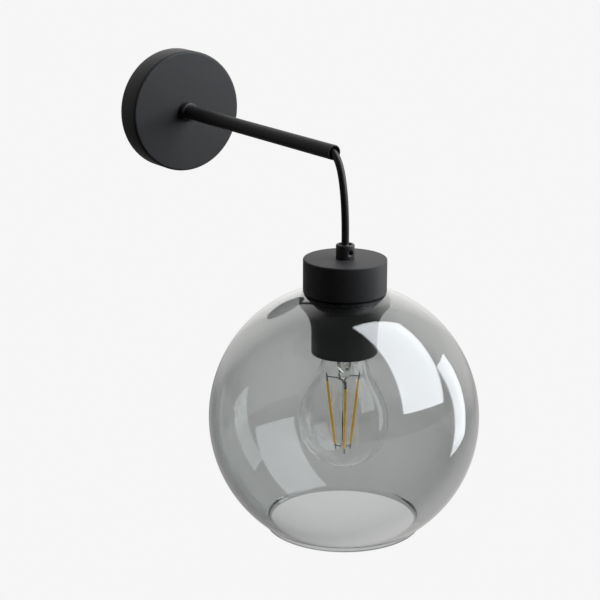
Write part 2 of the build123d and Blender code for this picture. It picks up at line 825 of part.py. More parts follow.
contact_gap = 0.1
leaf_thickness = 0.4
leaf_width = 5
leaf_foot = (-6.4, -3.4)  # where it lies on the insert
leaf_touch = 1.6  # half the flat that presses on the bulb
leaf_tip = (4.4, -0.8)
bulb_top = insert_bottom - 2.4  # its centre contact
with BuildPart() as centre_contact:
    with BuildSketch(profile):
        with BuildLine():
            spring = Polyline(
                (leaf_foot[0], insert_bottom - leaf_thickness / 2),
                (leaf_foot[1], insert_bottom - leaf_thickness / 2),
                (-leaf_touch, bulb_top + contact_gap + leaf_thickness / 2),
                (leaf_touch, bulb_top + contact_gap + leaf_thickness / 2),
                (leaf_tip[0], insert_bottom + leaf_tip[1]),
            )
        trace(line_width=leaf_thickness)
    extrude(amount=leaf_width / 2, both=True)
finish(centre_contact.part, "centre_contact")

bulb_r = bulb_dia / 2
bulb_bottom = bulb_top - bulb_length
bulb_z = bulb_bottom + bulb_r  # centre of its round end
contact_r = 4.6
contact_height = 1.2
contact_edge = 0.6
insulator_height = 2.8  # from the contact down to the shell
insulator_flange = 1.2
insulator_inset = 1.6
crown_height = 1.8  # of the shell's sloping top
flare_height = 0.8
base_top = bulb_top - contact_height - insulator_height
base_bottom = base_top - bulb_base_length
flare_end_r = base_r + bulb_base_flare

with BuildPart() as bulb_contact:
    with BuildSketch(hang.offset(bulb_top)):
        Circle(contact_r)
    extrude(amount=-contact_height)
    fillet(bulb_contact.faces().sort_by(Axis.Z)[-1].edges(), contact_edge)
finish(bulb_contact.part, "bulb_contact")

insulator_r = base_r - insulator_inset
with BuildPart() as bulb_insulator:
    with BuildSketch(profile):
        Polygon(
            (0, bulb_top - contact_height),
            (contact_r + 0.5, bulb_top - contact_height),
            (insulator_r, base_top),
            (insulator_r, base_top - insulator_flange),
            (0, base_top - insulator_flange),
            align=None,
        )
    revolve(axis=pendant_axis)
finish(bulb_insulator.part, "bulb_insulator")

with BuildPart() as bulb_base:
    with BuildSketch(profile):
        with BuildLine():
            Polyline(
                (insulator_r, base_top),
                (insulator_r + bulb_base_wall, base_top),
                (base_r, base_top - crown_height),
                (base_r, base_bottom + flare_height),
                (flare_end_r, base_bottom),
                (flare_end_r - bulb_base_wall, base_bottom),
                (base_r - bulb_base_wall, base_bottom + flare_height),
                (base_r - bulb_base_wall, base_top - crown_height),
                (insulator_r, base_top - insulator_flange),
                close=True,
            )
        make_face()
    revolve(axis=pendant_axis)
finish(bulb_base.part, "bulb_base")

# The envelope: a round end, a wide shoulder, and a neck that runs up into the base
shoulder_turn = atan2(shoulder_slope, 1)
neck_turn = atan2(neck_slope, 1)
base_glue = 0.2  # between the neck and the base
neck_in_base_r = base_r - bulb_base_wall - base_glue
neck_in_base = 6
neck_end = base_bottom - 1.6
shoulder_z = bulb_z + bulb_shoulder * tan(shoulder_turn / 2)
neck_end_r = neck_dia / 2
waist_z = (bulb_r - neck_end_r + shoulder_slope * shoulder_z - neck_slope * neck_end) / (
    shoulder_slope - neck_slope
)
waist_r = neck_end_r + neck_slope * (neck_end - waist_z)
waist_radius = 26

with BuildPart() as bulb_envelope:
    with BuildSketch(profile):
        with BuildLine():
            CenterArc((0, bulb_z), bulb_r, -90, 90)
            shoulder_centre = (bulb_r - bulb_shoulder, bulb_z)
            shoulder = CenterArc(shoulder_centre, bulb_shoulder, 0, degrees(shoulder_turn))
            FilletPolyline(
                shoulder @ 1, (waist_r, waist_z), (neck_end_r, neck_end), radius=waist_radius
            )
            Polyline(
                (neck_end_r, neck_end),
                (neck_in_base_r, base_bottom - base_glue),
                (neck_in_base_r, base_bottom + neck_in_base),
                (0, base_bottom + neck_in_base),
                (0, bulb_bottom),
            )
        make_face()
    revolve(axis=pendant_axis)
    offset(amount=-envelope_wall, openings=bulb_envelope.faces().sort_by(Axis.Z)[-1])
finish(bulb_envelope.part, "bulb_envelope")

# Driver board in the base, with a round part on one side and a square one on the other
driver_top = base_top - 2
board_width = 12
board_thickness = 1.2
board_height = 13
can_dia = 6
can_drop = 6
block_size = (7, 3.2, 5)
block_drop = 4

with BuildPart() as bulb_driver:
    with BuildSketch(hang.offset(driver_top)):
        Rectangle(board_width, board_thickness)
    extrude(amount=-board_height)
    with BuildSketch(hang.offset(driver_top - can_drop)):
        with Locations((0, board_thickness / 2 + can_dia / 2)):
            Circle(can_dia / 2)
    extrude(amount=-can_dia)
    with BuildSketch(hang.offset(driver_top - block_drop)):
        with Locations((0, -board_thickness / 2 - block_size[1] / 2)):
            Rectangle(block_size[0], block_size[1])
    extrude(amount=-block_size[2])
finish(bulb_driver.part, "bulb_driver")

# Glass stem: a flare in the neck, a tube, a flat press and a thin rod down the middle
stem_tube_dia = 9.4
stem_wall = 0.8
press_width = 9
press_height = 4.4
press_thickness = 3
press_bottom = -150
rod_dia = 2.2
star_drop = 1.2  # of the lower wires below the filaments
bead_height = 3
bead_dia = 3.4
bead_edge = 1
upper_wire_rise = 3  # of the upper wires above the filaments
bead_r = bead_dia / 2

flare_r = neck_in_base_r - envelope_wall - loose_gap
stem_r = stem_tube_dia / 2
stem_top = base_bottom + neck_in_base
press_top = press_bottom + press_height
tube_end = press_top + press_height
star_z = filament_bottom - star_drop

with BuildPart() as bulb_stem:
    with BuildSketch(profile):
        with BuildLine():
            outer = FilletPolyline(
                (flare_r, stem_top),
                (stem_r, stem_top - flare_r + stem_r),
                (stem_r, tube_end),
                radius=flare_r - stem_r,
            )
            inner = FilletPolyline(
                (flare_r - stem_wall, stem_top),
                (stem_r - stem_wall, stem_top - flare_r + stem_r),
                (stem_r - stem_wall, tube_end),
                radius=flare_r - stem_r,
            )
            Line(outer @ 0, inner @ 0)
            Line(outer @ 1, inner @ 1)
        make_face()
    revolve(axis=pendant_axis)
    with BuildSketch(hang.offset(tube_end)):
        Circle(stem_r)
    with BuildSketch(hang.offset(press_top)):
        SlotOverall(press_width, press_thickness)
    loft()
    with BuildSketch(hang.offset(press_top)):
        SlotOverall(press_width, press_thickness)
    extrude(amount=-press_height)
    with BuildSketch(hang.offset(press_bottom)):
        Circle(rod_dia / 2)
    extrude(amount=star_z - bead_height / 2 - press_bottom)
    with BuildSketch(hang.offset(star_z + bead_height / 2)):
        Circle(bead_r)
    extrude(amount=-bead_height)
    fillet(bulb_stem.faces().sort_by(Axis.Z)[0].edges(), bead_edge)
finish(bulb_stem.part, "bulb_stem")

# Filaments lean inwards from the upper circle to the lower one, with a wire at each end
filament_angles = [i * 360 / filament_count for i in range(filament_count)]
top_r = filament_top_circle / 2
bottom_r = filament_bottom_circle / 2


def on_circle(radius, angle, height):
    across = radius * cos(radians(angle))
    return Vector(across, radius * sin(radians(angle)) - pendant_reach, height)


def rod_between(start, end, radius):
    with BuildPart() as rod:
        with BuildSketch(Plane(start, z_dir=end - start)):
            Circle(radius)
        extrude(amount=(end - start).length)
    return rod.part


wire_r = wire_dia / 2
lean = (top_r - bottom_r) / (filament_top - filament_bottom)
upper_z = filament_top + upper_wire_rise
upper_reach = top_r + lean * upper_wire_rise - wire_r
lower_reach = bottom_r - lean * star_drop - wire_r
press_end = press_width / 2 - press_thickness / 2  # centre of its rounded edge
press_out = press_thickness / 2 + wire_r / 2

filaments = []
end_wires = []
upper_wires = []
spokes = []
for angle in filament_angles:
    top_end = on_circle(top_r, angle, filament_top)
    bottom_end = on_circle(bottom_r, angle, filament_bottom)
    along = (top_end - bottom_end).normalized()
    filaments.append(rod_between(bottom_end, top_end, filament_dia / 2))
    end_wires.append(rod_between(top_end, top_end + along * top_tab_length, wire_r))
    end_wires.append(rod_between(bottom_end - along * bottom_tab_length, bottom_end, wire_r))
    side = Vector(press_end if cos(radians(angle)) > 0 else -press_end, 0, 0)
    foot = on_circle(press_out, angle, press_bottom + wire_dia) + side
    upper_wires.append(rod_between(foot, on_circle(upper_reach, angle, upper_z), wire_r))
    inner_end = on_circle(bead_r, angle, star_z)
    spokes.append(rod_between(inner_end, on_circle(lower_reach, angle, star_z), wire_r))

with BuildPart() as led_filaments:
    add(filaments)
finish(led_filaments.part, "led_filaments")

with BuildPart() as filament_tabs:
    add(end_wires)
finish(filament_tabs.part, "filament_tabs")

with BuildPart() as support_wires:
    add(upper_wires)
finish(support_wires.part, "support_wires")

with BuildPart() as lower_star:
    add(spokes)
finish(lower_star.part, "lower_star")
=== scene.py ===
import json
import math

import bpy
from mathutils import Matrix, Vector

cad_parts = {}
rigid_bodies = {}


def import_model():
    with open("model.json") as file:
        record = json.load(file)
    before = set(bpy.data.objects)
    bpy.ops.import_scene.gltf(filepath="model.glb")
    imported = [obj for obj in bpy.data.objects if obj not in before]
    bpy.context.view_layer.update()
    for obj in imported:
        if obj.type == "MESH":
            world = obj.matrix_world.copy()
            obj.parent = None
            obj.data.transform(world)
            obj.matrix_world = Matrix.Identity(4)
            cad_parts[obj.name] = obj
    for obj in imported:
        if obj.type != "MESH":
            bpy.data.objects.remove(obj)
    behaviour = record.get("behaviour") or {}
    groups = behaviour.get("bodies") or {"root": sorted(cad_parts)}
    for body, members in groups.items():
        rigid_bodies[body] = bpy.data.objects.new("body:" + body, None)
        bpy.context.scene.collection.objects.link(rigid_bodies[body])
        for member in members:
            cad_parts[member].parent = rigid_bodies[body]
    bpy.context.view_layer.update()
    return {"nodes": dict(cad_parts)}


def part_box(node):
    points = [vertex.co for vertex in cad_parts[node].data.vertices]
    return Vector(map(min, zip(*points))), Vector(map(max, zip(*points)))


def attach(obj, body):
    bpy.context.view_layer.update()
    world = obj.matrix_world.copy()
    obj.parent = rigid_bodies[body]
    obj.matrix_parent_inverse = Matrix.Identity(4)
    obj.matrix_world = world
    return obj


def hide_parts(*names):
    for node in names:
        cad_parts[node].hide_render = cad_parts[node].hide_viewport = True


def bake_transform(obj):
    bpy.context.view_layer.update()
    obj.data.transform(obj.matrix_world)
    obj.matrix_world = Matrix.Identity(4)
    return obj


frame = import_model()
mm = 0.001
nodes = frame["nodes"]
print("frame loaded:", len(nodes), "nodes")

pendantAxis = Vector((0, -218 * mm, 0))  # the vertical line that everything hangs round
nearly = {"edge": 0.05, "thread": 0.1, "cadWeld": 0.002, "weld": 0.004}  # how close counts as the same place

camera = {
    "place": (-625.6, -1077.5, 213.8),  # in mm, like every size in this script
    "turn": 34.47,  # degrees to the right of straight at the wall
    "tilt": -16.25,
    "roll": 0.1,
    "lens": 101.4,
    "sensor": 36,
    "nearest": 50,
    "furthest": 50000,
}


def makeCamera(size):
    lens = bpy.data.cameras.new("camera")
    lens.lens = size["lens"]
    lens.sensor_width = size["sensor"]
    lens.clip_start = size["nearest"] * mm
    lens.clip_end = size["furthest"] * mm
    viewer = bpy.data.objects.new("camera", lens)
    bpy.context.scene.collection.objects.link(viewer)
    viewer.matrix_world = (
        Matrix.Translation(Vector(size["place"]) * mm)
        @ Matrix.Rotation(-math.radians(size["turn"]), 4, "Z")
        @ Matrix.Rotation(math.radians(90 + size["tilt"]), 4, "X")
        @ Matrix.Rotation(math.radians(size["roll"]), 4, "Z")
    )
    bpy.context.scene.camera = viewer


studio = {
    "backdrop": 0.9216,  # brightness of the pale surroundings, where they are seen
    "dark": 0.01,  # brightness of the room between its lit patches
    "tint": (1.0, 0.99, 0.98),
    # the lit parts of the room: where their middles are, and how bright
    "patches": [
        {"towards": (0.56, 0.76, 0.34), "bright": 1.2},
        {"towards": (0.88, 0.36, 0.32), "bright": 0.85},
        {"towards": (0.28, 0.89, 0.36), "bright": 0.8},
        {"towards": (-0.75, 0.45, 0.48), "bright": 0.34},
        {"towards": (-0.45, 0.88, 0.15), "bright": 0.2},
        {"towards": (0.46, 0.81, -0.36), "bright": 0.3},
        {"towards": (0.68, 0.36, -0.64), "bright": 0.55},
    ],
    "fade": (0.70, 0.98),  # the cosines of the angles where a patch starts and where it is full
    "floorHeight": -620,
    "floorSize": 24000,
    "softbox": {
        "place": (808, -616, 695), "facing": (0.079, -0.770, 0.633), "up": (-0.02, 0.634, 0.773),
        "size": (1142, 1650), "power": 25, "colour": (0.92, 0.95, 1.0),
    },
    "sidePanel": {
        "place": (1211, -486, -218), "facing": (-0.482, 0.833, -0.271), "up": (-0.849, -0.521, -0.089),
        "size": (1009, 589), "power": 5.6, "colour": (0.92, 0.95, 1.0),
    },
}


def addPanel(name, panel):
    # a panel shines along its own -Z, so its back looks away from the pendant
    place = Vector(panel["place"]) * mm
    normal = Vector(panel["facing"]).normalized()
    if normal.dot(pendantAxis - place) > 0:
        normal = -normal
    up = Vector(panel["up"])
    across = up.cross(normal).normalized()
    up = normal.cross(across)
    light = bpy.data.lights.new(name, "AREA")
    light.shape = "RECTANGLE"
    light.size = panel["size"][0] * mm
    light.size_y = panel["size"][1] * mm
    light.energy = panel["power"]
    light.color = panel["colour"]
    lightObject = bpy.data.objects.new(name, light)
    bpy.context.scene.collection.objects.link(lightObject)
    lightObject.matrix_world = Matrix.Translation(place) @ Matrix(
        ((across.x, up.x, normal.x), (across.y, up.y, normal.y), (across.z, up.z, normal.z))
    ).to_4x4()


def mathNode(tree, operation, first, second):
    node = tree.nodes.new("ShaderNodeMath")
    node.operation = operation
    for socket, value in zip(node.inputs, (first, second)):
        if isinstance(value, (int, float)):
            socket.default_value = value
        else:
            tree.links.new(value, socket)
    return node.outputs["Value"]


def seenDirectly(tree):
    # 1 for what the eye sees straight or through the glass, 0 for light that has been reflected or scattered
    path = tree.nodes.new("ShaderNodeLightPath").outputs
    straight = mathNode(tree, "MAXIMUM", path["Is Camera Ray"], path["Is Transmission Ray"])
    bounces = mathNode(tree, "ADD", path["Glossy Depth"], path["Diffuse Depth"])
    noBounce = mathNode(tree, "LESS_THAN", bounces, 0.5)
    return mathNode(tree, "MULTIPLY", straight, noBounce)


def faded(tree, socket, start, full):
    # 0 at the start and 1 where it is full, with a soft start and stop
    node = tree.nodes.new("ShaderNodeMapRange")
    node.interpolation_type = "SMOOTHSTEP"
    node.inputs["From Min"].default_value = start
    node.inputs["From Max"].default_value = full
    tree.links.new(socket, node.inputs["Value"])
    return node.outputs["Result"]


def makeWorld(room):
    # pale wherever it is seen; what lights the object and what it mirrors is a dark room with lit patches
    world = bpy.data.worlds.new("paleStudio")
    bpy.context.scene.world = world
    world.use_nodes = True
    tree = world.node_tree
    seen = tree.nodes["Background"]
    seen.inputs["Color"].default_value = (1, 1, 1, 1)
    seen.inputs["Strength"].default_value = room["backdrop"]
    lit = tree.nodes.new("ShaderNodeBackground")
    lit.inputs["Color"].default_value = (*room["tint"], 1)
    coordinate = tree.nodes.new("ShaderNodeTexCoord")
    brightest = room["dark"]
    for patch in room["patches"]:
        towards = tree.nodes.new("ShaderNodeVectorMath")
        towards.operation = "DOT_PRODUCT"
        towards.inputs[1].default_value = Vector(patch["towards"]).normalized()
        tree.links.new(coordinate.outputs["Generated"], towards.inputs[0])
        spread = faded(tree, towards.outputs["Value"], *room["fade"])
        light = mathNode(tree, "MULTIPLY", spread, patch["bright"])
        brightest = mathNode(tree, "MAXIMUM", light, brightest)
    tree.links.new(brightest, lit.inputs["Strength"])
    mix = tree.nodes.new("ShaderNodeMixShader")
    tree.links.new(seenDirectly(tree), mix.inputs[0])
    tree.links.new(lit.outputs["Background"], mix.inputs[1])
    tree.links.new(seen.outputs["Background"], mix.inputs[2])
    tree.links.new(mix.outputs["Shader"], tree.nodes["World Output"].inputs["Surface"])


makeCamera(camera)
addPanel("softbox", studio["softbox"])
addPanel("sidePanel", studio["sidePanel"])
makeWorld(studio)
bpy.context.scene.view_settings.view_transform = "Standard"
print("camera, lights and world set")


# noise seldom reaches 0 or 1, so colours and roughness run over the middle of it
noiseLook = {"roughness": 0.55, "colourSpan": (0.35, 0.65), "roughSpan": (0.3, 0.7)}


def newMaterial(name):
    material = bpy.data.materials.new(name)
    material.use_nodes = True
    tree = material.node_tree
    return material, tree, tree.nodes["Principled BSDF"]


def objectNoise(tree, scale, detail, stretch=(1, 1, 1)):
    coordinate = tree.nodes.new("ShaderNodeTexCoord")
    mapping = tree.nodes.new("ShaderNodeMapping")
    mapping.inputs["Scale"].default_value = stretch
    noise = tree.nodes.new("ShaderNodeTexNoise")
    noise.inputs["Scale"].default_value = scale
    noise.inputs["Detail"].default_value = detail
    noise.inputs["Roughness"].default_value = noiseLook["roughness"]
    tree.links.new(coordinate.outputs["Object"], mapping.inputs["Vector"])
    tree.links.new(mapping.outputs["Vector"], noise.inputs["Vector"])
    return noise.outputs["Fac"]


def coloured(tree, shader, pattern, dark, pale):
    ramp = tree.nodes.new("ShaderNodeValToRGB")
    for stop, position, colour in zip(ramp.color_ramp.elements, noiseLook["colourSpan"], (dark, pale)):
        stop.position = position
        stop.color = (*colour, 1)
    tree.links.new(pattern, ramp.inputs["Fac"])
    tree.links.new(ramp.outputs["Color"], shader.inputs["Base Color"])


def roughened(tree, shader, pattern, low, high):
    node = tree.nodes.new("ShaderNodeMapRange")
    node.inputs["From Min"].default_value = noiseLook["roughSpan"][0]
    node.inputs["From Max"].default_value = noiseLook["roughSpan"][1]
    node.inputs["To Min"].default_value = low
    node.inputs["To Max"].default_value = high
    tree.links.new(pattern, node.inputs["Value"])
    tree.links.new(node.outputs["Result"], shader.inputs["Roughness"])


def bumped(tree, shader, pattern, strength, height, before=None):
    bump = tree.nodes.new("ShaderNodeBump")
    bump.inputs["Strength"].default_value = strength
    bump.inputs["Distance"].default_value = height * mm
    tree.links.new(pattern, bump.inputs["Height"])
    if before is not None:
        tree.links.new(before, bump.inputs["Normal"])
    tree.links.new(bump.outputs["Normal"], shader.inputs["Normal"])
    return bump.outputs["Normal"]


# in every finish, a pattern is its scale and detail, and a bump its strength and height
powder = {
    "grain": (3200, 2), "peel": (700, 2), "dark": (0.022, 0.022, 0.023), "pale": (0.034, 0.034, 0.035),
    "rough": (0.50, 0.62), "grainBump": (0.35, 0.03), "peelBump": (0.25, 0.05),
}


def powderCoat(name, gloss=0.0):
    # fine matte powder: a tight grain over a slow orange peel
    material, tree, shader = newMaterial(name)
    grain = objectNoise(tree, *powder["grain"])
    peel = objectNoise(tree, *powder["peel"])
    coloured(tree, shader, grain, powder["dark"], powder["pale"])
    roughened(tree, shader, grain, *(rough - gloss for rough in powder["rough"]))
    normal = bumped(tree, shader, peel, *powder["peelBump"])
    bumped(tree, shader, grain, *powder["grainBump"], normal)
    return material


plastic = {"grain": (900, 3), "cloud": (120, 2), "roughSpread": (-0.05, 0.06), "bump": (0.12, 0.03)}


def plainPlastic(name, dark, pale, roughness):
    material, tree, shader = newMaterial(name)
    grain = objectNoise(tree, *plastic["grain"])
    coloured(tree, shader, objectNoise(tree, *plastic["cloud"]), dark, pale)
    roughened(tree, shader, grain, *(roughness + more for more in plastic["roughSpread"]))
    bumped(tree, shader, grain, *plastic["bump"])
    return material


plate = {"streak": (500, 4), "cloud": (90, 3), "roughSpread": (-0.08, 0.1), "bump": (0.1, 0.02)}


def platedMetal(name, dark, pale, roughness):
    material, tree, shader = newMaterial(name)
    shader.inputs["Metallic"].default_value = 1
    streak = objectNoise(tree, *plate["streak"])
    coloured(tree, shader, objectNoise(tree, *plate["cloud"]), dark, pale)
    roughened(tree, shader, streak, *(roughness + more for more in plate["roughSpread"]))
    bumped(tree, shader, streak, *plate["bump"])
    return material


sheath = {
    "lines": (1500, 2), "stretch": (1, 1, 0.06), "dark": (0.012, 0.012, 0.013), "pale": (0.018, 0.018, 0.019),
    "rough": (0.36, 0.46), "bump": (0.15, 0.03),
}


def cordSheath(name):
    # extruded black sheath: satin, with faint lines along the hanging cord
    material, tree, shader = newMaterial(name)
    lines = objectNoise(tree, *sheath["lines"], stretch=sheath["stretch"])
    coloured(tree, shader, lines, sheath["dark"], sheath["pale"])
    roughened(tree, shader, lines, *sheath["rough"])
    bumped(tree, shader, lines, *sheath["bump"])
    return material


glass = {
    "ior": 1.5, "coatIor": 1.6, "haze": (14, 2),
    "hazeLift": 1.02,  # how much paler the haze is than the tint
    "smoke": (0.495, 0.515, 0.505),
}


def clearWall(name, tint, shadowTint, density=0, coat=0):
    # glass that lets light through to what it shades, tinted; density fills it with smoke grey
    material, tree, shader = newMaterial(name)
    output = tree.nodes["Material Output"]
    if density:
        body = tree.nodes.new("ShaderNodeVolumeAbsorption")
        body.inputs["Color"].default_value = (*glass["smoke"], 1)
        body.inputs["Density"].default_value = density
        tree.links.new(body.outputs["Volume"], output.inputs["Volume"])
    pale = tuple(min(1, c * glass["hazeLift"]) for c in tint)
    coloured(tree, shader, objectNoise(tree, *glass["haze"]), tint, pale)
    shader.inputs["Roughness"].default_value = 0
    shader.inputs["IOR"].default_value = glass["ior"]
    shader.inputs["Transmission Weight"].default_value = 1
    shader.inputs["Coat Weight"].default_value = coat
    shader.inputs["Coat Roughness"].default_value = 0
    shader.inputs["Coat IOR"].default_value = glass["coatIor"]
    shadow = tree.nodes.new("ShaderNodeBsdfTransparent")
    shadow.inputs["Color"].default_value = (*shadowTint, 1)
    path = tree.nodes.new("ShaderNodeLightPath")
    mix = tree.nodes.new("ShaderNodeMixShader")
    tree.links.new(path.outputs["Is Shadow Ray"], mix.inputs[0])
    tree.links.new(shader.outputs["BSDF"], mix.inputs[1])
    tree.links.new(shadow.outputs["BSDF"], mix.inputs[2])
    tree.links.new(mix.outputs["Shader"], output.inputs["Surface"])
    return material


gel = {
    "patches": (420, 2), "stretch": (1, 1, 0.5), "dark": (1.0, 0.56, 0.04), "pale": (1.0, 0.64, 0.07),
    "rough": 0.4, "bump": (0.2, 0.05),
    # painted glow: the unlit filament is made to shine a little
    "glow": (1, 0.56, 0.06), "paintedGlowStrength": 0.16,  # gives back some of the colour that the smoke glass takes
    "softness": 0.15, "softDepth": 1.0,  # share and depth of the light that scatters inside
}


def filamentGel(name):
    # phosphor in silicone, a little uneven along the rod, with a painted glow though the bulb is not lit
    material, tree, shader = newMaterial(name)
    patches = objectNoise(tree, *gel["patches"], stretch=gel["stretch"])
    coloured(tree, shader, patches, gel["dark"], gel["pale"])
    shader.inputs["Roughness"].default_value = gel["rough"]
    # painted glow: emission on a filament that is not lit
    shader.inputs["Emission Color"].default_value = (*gel["glow"], 1)
    shader.inputs["Emission Strength"].default_value = gel["paintedGlowStrength"]
    shader.inputs["Subsurface Weight"].default_value = gel["softness"]
    shader.inputs["Subsurface Scale"].default_value = gel["softDepth"] * mm
    bumped(tree, shader, patches, *gel["bump"])
    return material


stripes = {"scale": 260, "green": (0.03, 0.26, 0.04), "yellow": (0.7, 0.62, 0.03), "rough": 0.36}


def earthStripes(name):
    # green and yellow bands round the earth lead
    material, tree, shader = newMaterial(name)
    coordinate = tree.nodes.new("ShaderNodeTexCoord")
    wave = tree.nodes.new("ShaderNodeTexWave")
    wave.bands_direction = "X"
    wave.inputs["Scale"].default_value = stripes["scale"]
    tree.links.new(coordinate.outputs["Object"], wave.inputs["Vector"])
    coloured(tree, shader, wave.outputs["Fac"], stripes["green"], stripes["yellow"])
    shader.inputs["Roughness"].default_value = stripes["rough"]
    return material


blackPaint = powderCoat("blackPaint")
glossierPaint = powderCoat("glossierPaint", gloss=0.12)
blackScrew = platedMetal("blackScrew", (0.05, 0.05, 0.055), (0.08, 0.08, 0.085), 0.4)
zinc = platedMetal("zinc", (0.55, 0.55, 0.54), (0.68, 0.68, 0.65), 0.33)
brass = platedMetal("brass", (0.62, 0.46, 0.2), (0.76, 0.6, 0.3), 0.3)
nickel = platedMetal("nickel", (0.6, 0.59, 0.57), (0.72, 0.7, 0.67), 0.25)
dullWire = platedMetal("dullWire", (0.14, 0.13, 0.12), (0.24, 0.22, 0.2), 0.42)
blackCord = cordSheath("blackCord")
blackPlastic = plainPlastic("blackPlastic", (0.018, 0.018, 0.02), (0.026, 0.026, 0.028), 0.36)
blackRubber = plainPlastic("blackRubber", (0.02, 0.02, 0.02), (0.03, 0.03, 0.03), 0.7)
blockPlastic = plainPlastic("blockPlastic", (0.66, 0.66, 0.6), (0.74, 0.74, 0.69), 0.38)
ceramic = plainPlastic("ceramic", (0.74, 0.72, 0.66), (0.8, 0.78, 0.72), 0.2)
brownWire = plainPlastic("brownWire", (0.13, 0.045, 0.02), (0.17, 0.06, 0.025), 0.35)
blueWire = plainPlastic("blueWire", (0.02, 0.1, 0.4), (0.03, 0.13, 0.48), 0.35)
circuitGreen = plainPlastic("circuitGreen", (0.03, 0.16, 0.06), (0.05, 0.22, 0.09), 0.4)
smokeGlass = clearWall("smokeGlass", (0.97, 0.97, 0.97), (0.60, 0.61, 0.60), density=300, coat=1)
bulbGlass = clearWall("bulbGlass", (0.985, 0.99, 0.985), (0.98, 0.98, 0.98))
stemGlass = clearWall("stemGlass", (0.93, 0.95, 0.90), (0.95, 0.95, 0.93))
filament = filamentGel("filament")
greenYellow = earthStripes("greenYellow")
print("materials made")


def deselectAll():
    for other in bpy.context.view_layer.objects:
        other.select_set(False)


def selectOnly(piece):
    deselectAll()
    piece.select_set(True)
    bpy.context.view_layer.objects.active = piece


def dress(piece, material, smooth):
    # faces that meet at less than the smooth angle shade as one
    selectOnly(piece)
    bpy.ops.object.shade_smooth_by_angle(angle=math.radians(smooth))
    piece.data.materials.clear()
    piece.data.materials.append(material)


def finishPiece(piece, body, material, node, smooth=32):
    dress(piece, material, smooth)
    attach(piece, body)
    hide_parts(node)


def arc(centre, radius, start, end, count):
    # points on a round stretch of an outline, from one angle to the other
    angles = [math.radians(start + (end - start) * i / count) for i in range(count + 1)]
    return [(centre[0] + radius * math.cos(a), centre[1] + radius * math.sin(a)) for a in angles]


def spun(name, outline, axis="Z", steps=128):
    # draws the outline by extruding one vertex, then spins it; (radius, place along the axis) in mm
    def inSpace(point):
        if axis == "Z":
            return pendantAxis + Vector((point[0], 0, point[1])) * mm
        return Vector((point[0], point[1], 0)) * mm

    deselectAll()
    bpy.ops.mesh.primitive_plane_add(size=mm)
    piece = bpy.context.object
    piece.name = name
    bpy.ops.object.mode_set(mode="EDIT")
    bpy.ops.mesh.select_mode(type="VERT")
    bpy.ops.mesh.select_all(action="SELECT")
    bpy.ops.mesh.merge(type="CENTER")
    bpy.ops.transform.translate(value=inSpace(outline[0]))
    for before, after in zip(outline, outline[1:]):
        bpy.ops.mesh.extrude_vertices_move(
            TRANSFORM_OT_translate={"value": inSpace(after) - inSpace(before)}
        )
    bpy.ops.mesh.select_all(action="SELECT")
    centre, direction = (pendantAxis, (0, 0, 1)) if axis == "Z" else ((0, 0, 0), (0, 1, 0))
    bpy.ops.mesh.spin(steps=steps, angle=math.tau, center=centre, axis=direction)
    bpy.ops.mesh.select_all(action="SELECT")
    bpy.ops.mesh.remove_doubles(threshold=nearly["weld"] * mm)
    bpy.ops.mesh.normals_make_consistent(inside=False)
    bpy.ops.object.mode_set(mode="OBJECT")
    return piece


def rod(name, start, end, radius, vertices=24, rounding=0.35):
    # a round rod between two points in mm, its ends rounded by a share of its radius
    start, end = Vector(start) * mm, Vector(end) * mm
    deselectAll()
    bpy.ops.mesh.primitive_cylinder_add(
        vertices=vertices,
        radius=radius * mm,
        depth=(end - start).length,
        location=(start + end) / 2,
        rotation=(end - start).to_track_quat("Z", "Y").to_euler(),
    )
    piece = bpy.context.object
    piece.name = name
    bpy.ops.object.transform_apply(location=True, rotation=True, scale=True)
    bevel = piece.modifiers.new("roundEnds", "BEVEL")
    bevel.width = radius * rounding * mm
    bevel.segments = 3
    bpy.ops.object.modifier_apply(modifier=bevel.name)
    return piece


def joined(name, pieces):
    deselectAll()
    for piece in pieces:
        piece.select_set(True)
    bpy.context.view_layer.objects.active = pieces[0]
    bpy.ops.object.join()
    pieces[0].name = name
    return pieces[0]


def cutAway(piece, cutter):
    selectOnly(piece)
    cut = piece.modifiers.new("cut", "BOOLEAN")
    cut.object = cutter
    cut.solver = "EXACT"
    bpy.ops.object.modifier_apply(modifier=cut.name)
    bpy.data.objects.remove(cutter)


def mergedCopy(node, name):
    # a CAD node's own shape with its triangles joined, so that its round faces shade smoothly
    source = nodes[node]
    copy = source.copy()
    copy.data = source.data.copy()
    for key in list(copy.keys()):
        del copy[key]
    copy.parent = None
    bpy.context.scene.collection.objects.link(copy)
    copy.name = name
    selectOnly(copy)
    bpy.ops.object.mode_set(mode="EDIT")
    bpy.ops.mesh.select_all(action="SELECT")
    bpy.ops.mesh.remove_doubles(threshold=nearly["cadWeld"] * mm)
    bpy.ops.object.mode_set(mode="OBJECT")
    return copy


canopy = {"radius": 44, "depth": 20, "wall": 1.2, "edge": 1.8, "rimEdge": 0.4, "inside": 1.0, "hole": 5.1}


def makeCanopy(size):
    inner = size["radius"] - size["wall"]
    face = -size["depth"]
    edge, rimEdge, inside = size["edge"], size["rimEdge"], size["inside"]
    outline = [(size["hole"], face)]
    outline += arc((size["radius"] - edge, face + edge), edge, -90, 0, count=10)
    outline += arc((size["radius"] - rimEdge, -rimEdge), rimEdge, 0, 90, count=4)
    outline += arc((inner + rimEdge, -rimEdge), rimEdge, 90, 180, count=4)
    outline += arc((inner - inside, face + size["wall"] + inside), inside, 0, -90, count=6)
    outline += [(size["hole"], face + size["wall"]), (size["hole"], face)]
    cup = spun("canopyCup", outline, axis="Y", steps=192)
    finishPiece(cup, "root", blackPaint, "canopy")


arm = {"radius": 5, "wall": 1, "from": -11.5, "to": -205, "mouthEdge": 0.45, "insideEdge": 0.2}


